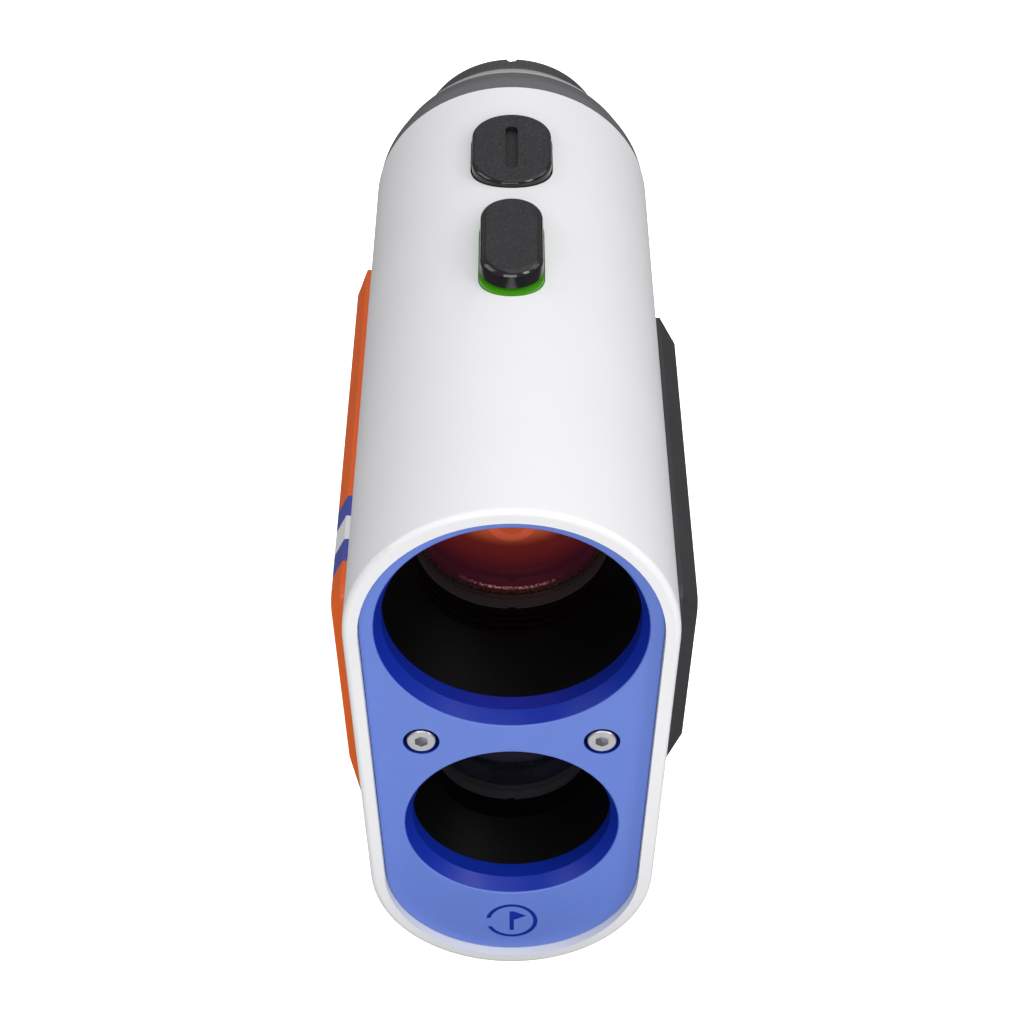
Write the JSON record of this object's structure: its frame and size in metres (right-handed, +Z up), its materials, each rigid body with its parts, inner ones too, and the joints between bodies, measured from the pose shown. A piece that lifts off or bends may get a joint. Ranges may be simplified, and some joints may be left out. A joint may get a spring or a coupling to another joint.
{
  "type": "golf laser rangefinder",
  "caption": "Pocket laser rangefinder: tall round-ended white body, two stacked lens hoods in a blue plate, orange and black side plates, top buttons, focusing eyepiece.",
  "frame": {"origin": "under the middle of the body: centred across its width and length, at its lowest point", "axes": "+Y from the lenses back to the eyecup, +Z up to the buttons, +X out of the black magnetic side"},
  "size_m": [0.0428, 0.1028, 0.0807],
  "materials": {
    "white_shell": "smooth white moulded polycarbonate",
    "blue_plate": "fine-grained blue plastic",
    "orange_plate": "satin orange plastic with blue and white bands",
    "black_plate": "fine-grained black plastic",
    "rear_black": "dark grey moulded plastic",
    "button_black": "gloss sides, fine-grained top",
    "green_light": "translucent green",
    "hood_black": "dead matt black",
    "lens_black": "black anodised",
    "coated_glass": "red multi-coated",
    "clear_glass": "polished and coated",
    "rubber": "soft matt rubber",
    "diopter_grey": "satin grey plastic",
    "silicone": "translucent silicone",
    "screw_steel": "bright steel",
    "brass": "turned brass",
    "magnet": "nickel-plated magnet",
    "tray_plastic": "glass-filled plastic",
    "board": "green solder mask",
    "chips": "moulded chip packages",
    "cell_wrap": "plain shrink sleeve"
  },
  "bodies": {
    "housing": {"main_shell": "white_shell", "front_faceplate": "blue_plate", "left_side_plate": "orange_plate", "right_side_plate": "black_plate", "rear_cap": "rear_black", "button_light_ring": "green_light", "objective_hood": "hood_black", "receiver_hood": "hood_black", "front_frame": "hood_black", "objective_barrel": "lens_black", "receiver_barrel": "lens_black", "objective_retaining_ring": "lens_black", "receiver_retaining_ring": "lens_black", "eyepiece_tube": "lens_black", "prism_cage": "lens_black", "objective_front_lens": "coated_glass", "objective_rear_lens": "clear_glass", "receiver_lens": "clear_glass", "half_penta_prism": "clear_glass", "roof_prism": "clear_glass", "display_panel": "clear_glass", "rear_cap_gasket": "rubber", "front_button_dome": "silicone", "rear_button_dome": "silicone", "faceplate_screws": "screw_steel", "rear_cap_screws": "screw_steel", "battery_door_pin": "screw_steel", "battery_spring": "screw_steel", "laser_diode": "screw_steel", "receiver_sensor": "screw_steel", "vibration_motor": "screw_steel", "faceplate_inserts": "brass", "side_magnets": "magnet", "optical_tray": "tray_plastic", "display_frame": "tray_plastic", "battery_tube": "tray_plastic", "main_board": "board", "button_board": "board", "receiver_board": "board", "board_chips": "chips", "ring_lights": "chips", "battery": "cell_wrap"},
    "front_button_body": {"front_button": "button_black"},
    "rear_button_body": {"rear_button": "button_black"},
    "diopter_body": {"diopter_ring": "diopter_grey", "eyecup": "rubber"},
    "eyepiece_body": {"eyepiece_cell": "lens_black", "eyepiece_spacer": "lens_black", "field_lens": "clear_glass", "eye_lens": "clear_glass", "eye_lens_ring": "lens_black", "focus_pin": "screw_steel"},
    "door_body": {"battery_door": "rear_black", "battery_door_gasket": "rubber", "battery_door_contact": "screw_steel"}
  },
  "joints": [
    {"name": "front_button_press", "type": "slide", "parent": "housing", "child": "front_button_body", "axis": [0, 0, -1], "range_m": [0, 0.0003], "stiffness_N_per_m": 2000, "deforming": ["front_button_dome"]},
    {"name": "rear_button_press", "type": "slide", "parent": "housing", "child": "rear_button_body", "axis": [0, 0, -1], "range_m": [0, 0.0003], "stiffness_N_per_m": 2000, "deforming": ["rear_button_dome"]},
    {"name": "diopter_turn", "type": "hinge", "parent": "housing", "child": "diopter_body", "pos_m": [0, 0.0436, 0.05925], "axis": [0, 1, 0], "range_deg": [-120, 120]},
    {"name": "eyepiece_focus", "type": "slide", "parent": "housing", "child": "eyepiece_body", "axis": [0, 1, 0], "range_m": [-0.001, 0.001]},
    {"name": "battery_door_swing", "type": "hinge", "parent": "housing", "child": "door_body", "pos_m": [0, 0.0396, 0.0076], "axis": [-1, 0, 0], "range_deg": [0, 110]}
  ],
  "couplings": [
    {"joint": "diopter_turn", "follows": "eyepiece_focus", "rad_per_m": 2094.4}
  ]
}
